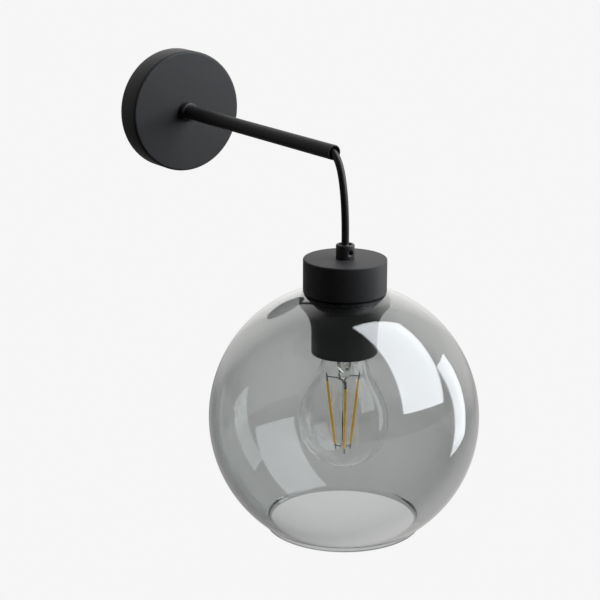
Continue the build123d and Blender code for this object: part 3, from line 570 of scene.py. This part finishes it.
def makeArm(size):
    inner = size["radius"] - size["wall"]
    edge, insideEdge = size["mouthEdge"], size["insideEdge"]
    outline = [(inner, size["from"]), (size["radius"], size["from"])]
    outline += arc((size["radius"] - edge, size["to"] + edge), edge, 0, -90, count=5)
    outline += arc((inner + insideEdge, size["to"] + insideEdge), insideEdge, -90, -180, count=3)
    outline += [(inner, size["from"])]
    tube = spun("armTube", outline, axis="Y", steps=96)
    finishPiece(tube, "root", blackPaint, "arm_tube")


collar = {"radius": 7, "length": 4.5, "edge": 1.1, "bore": 5.05}


def makeCollar(size):
    back = -canopy["depth"]
    front = back - size["length"]
    edge = size["edge"]
    outline = [(size["bore"], back), (size["radius"], back)]
    outline += arc((size["radius"] - edge, front + edge), edge, 0, -90, count=6)
    outline += [(size["bore"], front), (size["bore"], back)]
    ring = spun("armCollar", outline, axis="Y", steps=96)
    finishPiece(ring, "root", glossierPaint, "arm_collar")


sideScrew = {
    "headRadius": 4, "headHeight": 2.4, "fromWall": 9,
    "dome": 0.7,  # the share of the head's height that its round edge takes
    "recess": (2.2, 0.6, 1.4),  # half the length, width and depth of each bar of the cross
    "shankRadius": 2, "shankEnd": 8.2, "shankGap": 0.05,  # from the canopy's outside
}


def crossCutter(recess, centre):
    # two crossed bars, for the recess of a screw
    length, width, depth = recess
    bars = []
    for along, across in ((length, width), (width, length)):
        bpy.ops.mesh.primitive_cube_add(size=2 * mm, location=centre)
        bar = bpy.context.object
        bar.scale = (depth, along, across)
        bpy.ops.object.transform_apply(location=True, rotation=True, scale=True)
        bars.append(bar)
    return joined("cutter", bars)


def screwHead(size, side):
    # a round head with its outer edge rounded over, and a cross cut into it
    deselectAll()
    middleX = side * (canopy["radius"] + size["headHeight"] / 2)
    bpy.ops.mesh.primitive_cylinder_add(
        vertices=48, radius=size["headRadius"] * mm, depth=size["headHeight"] * mm,
        location=Vector((middleX, -size["fromWall"], 0)) * mm, rotation=(0, side * math.pi / 2, 0),
    )
    head = bpy.context.object
    bpy.ops.object.transform_apply(location=True, rotation=True, scale=True)
    bpy.ops.object.mode_set(mode="EDIT")
    bpy.ops.mesh.select_all(action="DESELECT")
    bpy.ops.object.mode_set(mode="OBJECT")
    outerX = side * (canopy["radius"] + size["headHeight"]) * mm
    for edge in head.data.edges:
        ends = [head.data.vertices[i].co for i in edge.vertices]
        edge.select = all(abs(end.x - outerX) < nearly["edge"] * mm for end in ends)
    bpy.ops.object.mode_set(mode="EDIT")
    bpy.ops.mesh.select_mode(type="EDGE")
    bpy.ops.mesh.bevel(offset=size["headHeight"] * size["dome"] * mm, segments=6)
    bpy.ops.object.mode_set(mode="OBJECT")
    cutAway(head, crossCutter(size["recess"], Vector((outerX, -size["fromWall"] * mm, 0))))
    return head


def makeSideScrews(size):
    pieces = []
    for side in (-1, 1):
        pieces.append(screwHead(size, side))
        inner = (side * (canopy["radius"] - size["shankEnd"]), -size["fromWall"], 0)
        outer = (side * (canopy["radius"] - size["shankGap"]), -size["fromWall"], 0)
        pieces.append(rod("shank", inner, outer, size["shankRadius"]))
    finishPiece(joined("canopyScrews", pieces), "root", blackScrew, "canopy_screws")


makeCanopy(canopy)
makeArm(arm)
makeCollar(collar)
makeSideScrews(sideScrew)
print("canopy and arm made")


cord = {
    "diameter": 5,
    # the same corners of straight runs as the CAD cord follows
    "route": [
        (0, -6.5, 0), (0, -200.6, 1.3), (0, -205.6, -0.6), (0, -210.3, -5.9), (0, -213.4, -13.2),
        (0, -215.4, -21.5), (0, -216.8, -30.5), (0, -217.6, -40.0), (0, -218.0, -49.5), (0, -218.0, -58.0),
    ],
    # where each free stretch would start and end its turn from one body to the next; the code reads only
    # whether one is given
    "bendTurn": ((0, -205, -1), (0, -216.1, -26)),
    "dropTurn": ((0, -216.1, -26), (0, -218, -57)),
    "stepsAlong": 16,
    "stepsRound": 8,
    "smooth": 50,
}


def middle(first, second):
    return tuple((a + b) / 2 for a, b in zip(first, second))


def splineLine(name, points):
    curve = bpy.data.curves.new(name, "CURVE")
    curve.dimensions = "3D"
    curve.resolution_u = cord["stepsAlong"]
    spline = curve.splines.new("NURBS")
    spline.points.add(len(points) - 1)
    for target, point in zip(spline.points, points):
        target.co = (*(c * mm for c in point), 1)
    spline.order_u = 3
    spline.use_endpoint_u = True
    return curve


def lineLength(points):
    return sum((b - a).length for a, b in zip(points, points[1:]))


def makeCord(name, node, points, bodies, turn=None):
    # a tube along the spline; a stretch that crosses a joint is put on no body, its place baked into its mesh
    curve = splineLine(name, points)
    line = bpy.data.objects.new(name + "Line", curve)
    bpy.context.scene.collection.objects.link(line)
    bpy.context.view_layer.update()
    sampled = bpy.data.meshes.new_from_object(line)
    path = [v.co.copy() for v in sampled.vertices]
    bpy.data.meshes.remove(sampled)
    curve.bevel_depth = cord["diameter"] / 2 * mm
    curve.bevel_resolution = cord["stepsRound"]
    curve.use_fill_caps = True
    selectOnly(line)
    bpy.ops.object.convert(target="MESH")
    tube = bpy.context.object
    tube.name = name
    dress(tube, blackCord, cord["smooth"])
    if turn is None:
        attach(tube, *bodies)
    else:
        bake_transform(tube)
    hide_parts(node)
    return tube, path


def makeFreeCord(name, node, points, bodies, turn):
    tube, path = makeCord(name, node, points, bodies, turn)
    print(name, round(lineLength(path) / mm, 1), "mm long")


route = cord["route"]
bendStart = middle(route[1], route[2])
dropStart = middle(route[5], route[6])
makeCord("cordInArm", "cord_in_arm", [*route[:2], bendStart], ["root"])
makeFreeCord(
    "cordBend", "cord_bend", [bendStart, *route[2:6], dropStart], ["root", "cord"], cord["bendTurn"]
)
makeFreeCord("cordDrop", "cord_drop", [dropStart, *route[6:]], ["cord", "cord_end"], cord["dropTurn"])
print("cord made")


grip = {
    "radius": 6.1, "top": -58, "bottom": -67.5, "edge": 0.9, "underEdge": 0.3, "bore": 2.9,
    "mouth": 4.3, "mouthDepth": 2.4, "mouthEdge": 0.4, "stud": 5, "studEnd": -76.5,
    "screwHeight": -63.3, "screwHole": 2.55, "holeMiddle": -5.4, "holeLength": 4,
}


def makeGrip(size):
    edge, underEdge, mouthEdge = size["edge"], size["underEdge"], size["mouthEdge"]
    mouthFloor = size["top"] - size["mouthDepth"]
    outline = [(size["bore"], size["studEnd"]), (size["stud"], size["studEnd"])]
    outline += [(size["stud"], size["bottom"])]
    outline += arc((size["radius"] - underEdge, size["bottom"] + underEdge), underEdge, -90, 0, count=3)
    outline += arc((size["radius"] - edge, size["top"] - edge), edge, 0, 90, count=6)
    outline += arc((size["mouth"] + mouthEdge, size["top"] - mouthEdge), mouthEdge, 90, 180, count=4)
    outline += [(size["mouth"], mouthFloor), (size["bore"], mouthFloor), (size["bore"], size["studEnd"])]
    body = spun("cordGrip", outline, steps=96)
    # the cross hole for the screw that pinches the cord
    deselectAll()
    bpy.ops.mesh.primitive_cylinder_add(
        vertices=40, radius=size["screwHole"] * mm, depth=size["holeLength"] * mm,
        location=pendantAxis + Vector((0, size["holeMiddle"], size["screwHeight"])) * mm,
        rotation=(math.pi / 2, 0, 0),
    )
    cutAway(body, bpy.context.object)
    finishPiece(body, "pendant", glossierPaint, "cord_grip")


cap = {
    "radius": 27.5, "top": -67.5, "rim": -90.3, "wall": 1.2, "edge": 1.0, "rimEdge": 0.8, "inside": 0.8,
    "hole": 5.1,
}


def makeCap(size):
    inner = size["radius"] - size["wall"]
    under = size["top"] - size["wall"]
    edge, rimEdge, inside = size["edge"], size["rimEdge"], size["inside"]
    outline = [(size["hole"], size["top"])]
    outline += arc((size["radius"] - edge, size["top"] - edge), edge, 90, 0, count=8)
    outline += arc((size["radius"] - rimEdge, size["rim"] + rimEdge), rimEdge, 0, -90, count=5)
    outline += [(inner, size["rim"]), (inner, under - inside)]
    outline += arc((inner - inside, under - inside), inside, 0, 90, count=4)
    outline += [(size["hole"], under), (size["hole"], size["top"])]
    cup = spun("holderCap", outline, steps=192)
    finishPiece(cup, "pendant", blackPaint, "holder_cap")


makeGrip(grip)
makeCap(cap)
print("cord grip and cap made")


globe = {
    "radius": 90, "wall": 2.5, "neck": 21, "mouth": 52.6, "bend": 49.4, "rim": 49.2,
    "lip": 2.7, "lipRound": 1.4, "arcPoints": 96,
}
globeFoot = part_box("glass_globe")[0].z / mm
globeCentre = globeFoot + globe["lip"] + math.sqrt(globe["radius"] ** 2 - globe["mouth"] ** 2)


def makeGlobe(size):
    outer = size["radius"]
    inner = outer - size["wall"]
    centre = (0, globeCentre)
    lipRound = size["lipRound"]
    lipMiddle = globeCentre - math.sqrt(outer**2 - size["mouth"] ** 2) - size["lip"] + lipRound
    outerNeck = math.degrees(math.acos(size["neck"] / outer))
    outerMouth = -math.degrees(math.acos(size["mouth"] / outer))
    innerMouth = -math.degrees(math.acos(size["bend"] / inner))
    innerNeck = math.degrees(math.acos(size["neck"] / inner))
    outline = arc(centre, outer, outerNeck, outerMouth, size["arcPoints"])
    outline += arc((size["mouth"] - lipRound, lipMiddle), lipRound, 0, -90, count=6)
    outline += arc((size["rim"] + lipRound, lipMiddle), lipRound, -90, -180, count=6)
    outline += arc(centre, inner, innerMouth, innerNeck, size["arcPoints"])
    outline += [outline[0]]
    shell = spun("glassGlobe", outline, steps=192)
    finishPiece(shell, "pendant", smokeGlass, "glass_globe", smooth=50)


ring = {
    "radius": 21.8, "flange": 29.5, "flangeEdge": 0.4, "edgeHeight": 4.4, "flareHeight": 17, "bottom": -132,
    "wall": 1.2, "thread": 19.9, "threadLength": 13, "gasket": 1.5, "bottomEdge": 0.8,
}


def makeShadeRing(size):
    # a trumpet: its flange sits under the globe's inside, less the gasket, and flares from a plain tube
    seat = globe["radius"] - globe["wall"] - size["gasket"]
    flangeEdge, bottomEdge = size["flangeEdge"], size["bottomEdge"]
    flangeTop = globeCentre + math.sqrt(seat**2 - size["flange"] ** 2)
    flangeBottom = flangeTop - size["edgeHeight"]
    flareEnd = flangeBottom - size["flareHeight"]
    out = size["flange"] - size["radius"]
    flareRadius = (out**2 + size["flareHeight"] ** 2) / (2 * out)
    flareTurn = math.degrees(math.atan2(size["flareHeight"], flareRadius - out))
    bore = size["radius"] - size["wall"]
    thread = size["thread"]
    threadTop = globeCentre + math.sqrt(seat**2 - thread**2)
    threadEnd = threadTop - size["threadLength"]
    seatFrom = math.degrees(math.acos(thread / seat))
    seatTo = math.degrees(math.acos(size["flange"] / seat))
    outline = arc((0, globeCentre), seat, seatFrom, seatTo, count=8)
    outline += arc((size["flange"] - flangeEdge, flangeBottom + flangeEdge), flangeEdge, 0, -60, count=3)
    flare = arc((size["radius"] + flareRadius, flareEnd), flareRadius, 180 - flareTurn, 180, count=28)
    outline += flare[1:]
    outline += arc((size["radius"] - bottomEdge, size["bottom"] + bottomEdge), bottomEdge, 0, -90, count=5)
    outline += [(bore, size["bottom"]), (bore, threadEnd - (bore - thread))]
    outline += [(thread, threadEnd), (thread, threadTop)]
    nut = spun("shadeRing", outline, steps=160)
    finishPiece(nut, "pendant", blackPaint, "shade_ring")


makeGlobe(globe)
makeShadeRing(ring)
print("globe and shade ring made")


bulb = {
    "radius": 30, "bottom": -210.6, "shoulder": 46, "shoulderSlope": 0.6, "neckSlope": 0.27, "waist": 26,
    "neck": 14, "neckEnd": -133.2, "neckStep": 1.4, "wall": 0.8, "inBase": 12.5, "top": -125.6,
}


def bulbOutline(size, inset):
    # one side of the envelope from its pole to its top; the inner wall is inset by the thickness of the glass
    centreZ = size["bottom"] + size["radius"]
    slope, neckSlope = size["shoulderSlope"], size["neckSlope"]
    turn = math.atan(slope)
    neckTurn = math.atan(neckSlope)
    shoulder, waist, neck = size["shoulder"], size["waist"], size["neck"]
    points = arc((0, centreZ), size["radius"] - inset, -90, 0, count=40)
    shoulderCentre = (size["radius"] - shoulder, centreZ)
    points += arc(shoulderCentre, shoulder - inset, 0, math.degrees(turn), count=20)[1:]
    # the waist turns the other way, between the shoulder's slope and the neck's
    shoulderZ = centreZ + shoulder * math.tan(turn / 2)
    cornerZ = (size["radius"] - neck + slope * shoulderZ - neckSlope * size["neckEnd"]) / (slope - neckSlope)
    cornerR = neck + neckSlope * (size["neckEnd"] - cornerZ)
    back = waist * math.tan((turn - neckTurn) / 2)
    startR = cornerR + back * math.sin(turn)
    startZ = cornerZ - back * math.cos(turn)
    waistCentre = (startR + waist * math.cos(turn), startZ + waist * math.sin(turn))
    points += arc(
        waistCentre, waist + inset, 180 + math.degrees(turn), 180 + math.degrees(neckTurn), count=12
    )
    inBase = size["inBase"] - inset
    points += [(neck - inset, size["neckEnd"]), (inBase, size["neckEnd"] + size["neckStep"])]
    points += [(inBase, size["top"])]
    return points


def makeEnvelope(size):
    outline = bulbOutline(size, 0) + list(reversed(bulbOutline(size, size["wall"])))
    shell = spun("bulbEnvelope", outline, steps=128)
    finishPiece(shell, "bulb", bulbGlass, "bulb_envelope", smooth=50)


base = {
    "radius": 13.1, "top": -109.6, "bottom": -131.6,
    "pitch": 3.63, "crest": 0.75, "rings": 44, "threadFade": 1.2,
    "threadTop": 2.2, "threadBottom": 1.6,  # from the base's top and from its bottom
    "cone": 11.5, "coneFoot": (0.9, 1.5), "coneWall": (0.4, 0.5),  # inwards and down
    "skirt": (0.2, 1.0), "flare": 0.2, "hem": 0.4, "inside": 1.3,  # the skirt is inwards and up
}


def makeBulbBase(size):
    # rounded thread: the shell is spun with close rings, which are then pushed in along a helix
    full, top, bottom, cone = size["radius"], size["top"], size["bottom"], size["cone"]
    low = bottom + size["threadBottom"]
    high = top - size["threadTop"]
    rings = size["rings"]
    outline = [(cone, top), (full - size["coneFoot"][0], top - size["coneFoot"][1])]
    outline += [(full, high + (low - high) * i / rings) for i in range(rings + 1)]
    outline += [(full - size["skirt"][0], bottom + size["skirt"][1]), (full + size["flare"], bottom)]
    outline += [(full - size["hem"], bottom), (full - size["inside"], low), (full - size["inside"], high)]
    outline += [(cone - size["coneWall"][0], top - size["coneWall"][1]), (cone, top)]
    shell = spun("bulbBase", outline, steps=96)
    close = nearly["thread"]
    for vertex in shell.data.vertices:
        flat = vertex.co - pendantAxis
        radius = math.hypot(flat.x, flat.y)
        height = flat.z / mm
        if radius > (full - close) * mm and low - close < height < high + close:
            around = math.atan2(flat.y, flat.x) / math.tau
            wave = 0.5 - 0.5 * math.cos(math.tau * (height / size["pitch"] - around))
            fade = min(1, (high - height) / size["threadFade"], (height - low) / size["threadFade"])
            shrink = 1 - size["crest"] * mm * wave * max(0, fade) / radius
            vertex.co.x = pendantAxis.x + flat.x * shrink
            vertex.co.y = pendantAxis.y + flat.y * shrink
    finishPiece(shell, "bulb", nickel, "bulb_base", smooth=60)


filaments = {
    "count": 3, "radius": 0.9, "top": -153.5, "bottom": -197.4, "topCircle": 12.2, "bottomCircle": 6.1,
    "upperTab": 5.5, "lowerTab": 4, "tabSunk": 1, "wire": 0.5,
}


def onCircle(radius, angle, height):
    return Vector(
        (radius * math.cos(angle), pendantAxis.y / mm + radius * math.sin(angle), height)
    )


def makeFilaments(size):
    # each rod has a wire at either end, sunk into it
    rods, tabs = [], []
    for i in range(size["count"]):
        angle = math.tau * i / size["count"]
        top = onCircle(size["topCircle"], angle, size["top"])
        bottom = onCircle(size["bottomCircle"], angle, size["bottom"])
        along = (top - bottom).normalized()
        sunk = along * size["tabSunk"]
        rods.append(rod("filamentRod", bottom, top, size["radius"]))
        tabs.append(rod("tab", top - sunk, top + along * size["upperTab"], size["wire"], vertices=12))
        tabs.append(rod("tab", bottom - along * size["lowerTab"], bottom + sunk, size["wire"], vertices=12))
    finishPiece(joined("ledFilaments", rods), "bulb", filament, "led_filaments")
    finishPiece(joined("filamentTabs", tabs), "bulb", dullWire, "filament_tabs")


makeEnvelope(bulb)
makeBulbBase(base)
makeFilaments(filaments)
print("bulb made")


# pieces that keep their CAD shape: the body they ride on, their finish and its slot
kept = {
    "mounting_bracket": ("root", zinc, "zinc_steel"),
    "arm_washer": ("root", zinc, "zinc_steel"),
    "arm_nut": ("root", zinc, "zinc_steel"),
    "cord_anchor": ("root", zinc, "zinc_steel"),
    "anchor_screw": ("root", zinc, "zinc_steel"),
    "earth_lug": ("root", zinc, "zinc_steel"),
    "earth_screw": ("root", brass, "brass"),
    "earth_lead": ("root", greenYellow, "earth_wire"),
    "live_core": ("root", brownWire, "live_wire"),
    "neutral_core": ("root", blueWire, "neutral_wire"),
    "terminal_block": ("root", blockPlastic, "terminal_plastic"),
    "terminal_barrels": ("root", brass, "brass"),
    "terminal_screws": ("root", zinc, "screw_steel"),
    "grip_screw": ("pendant", blackScrew, "black_screws"),
    "cord_in_grip": ("pendant", blackCord, "cord_pvc"),
    "holder_dome": ("pendant", blackPlastic, "holder_plastic"),
    "holder_body": ("pendant", blackPlastic, "holder_plastic"),
    "holder_insert": ("pendant", ceramic, "insert_ceramic"),
    "holder_terminals": ("pendant", brass, "brass"),
    "holder_cores": ("pendant", brownWire, "holder_wires"),
    "screw_shell": ("pendant", brass, "brass"),
    "centre_contact": ("pendant", brass, "brass"),
    "glass_gasket": ("pendant", blackRubber, "gasket_rubber"),
    "bulb_contact": ("bulb_tip", nickel, "base_metal"),
    "bulb_insulator": ("bulb", blackPlastic, "insulator_glass"),
    "bulb_driver": ("bulb", circuitGreen, "driver_board"),
    "bulb_stem": ("bulb", stemGlass, "clear_glass"),
    "support_wires": ("bulb", dullWire, "lead_wire"),
    "lower_star": ("bulb", dullWire, "lead_wire"),
}


def pieceName(node):
    words = node.split("_")
    return words[0] + "".join(word.capitalize() for word in words[1:])


for node, (body, material, slot) in kept.items():
    finishPiece(mergedCopy(node, pieceName(node)), body, material, node)
print("kept CAD shapes finished")


def makeFloor(room):
    # a pale sheet far below, which is seen but lights, shades and mirrors nothing
    deselectAll()
    bpy.ops.mesh.primitive_plane_add(size=room["floorSize"] * mm, location=(0, 0, room["floorHeight"] * mm))
    floor = bpy.context.object
    floor.name = "floor"
    material, _, shader = newMaterial("paleFloor")
    shader.inputs["Base Color"].default_value = (0, 0, 0, 1)
    shader.inputs["Roughness"].default_value = 1
    shader.inputs["Specular IOR Level"].default_value = 0
    shader.inputs["Emission Color"].default_value = (1, 1, 1, 1)
    shader.inputs["Emission Strength"].default_value = room["backdrop"]
    floor.visible_diffuse = False
    floor.visible_glossy = False
    floor.visible_shadow = False
    floor.data.materials.append(material)


makeFloor(studio)
print("floor made")
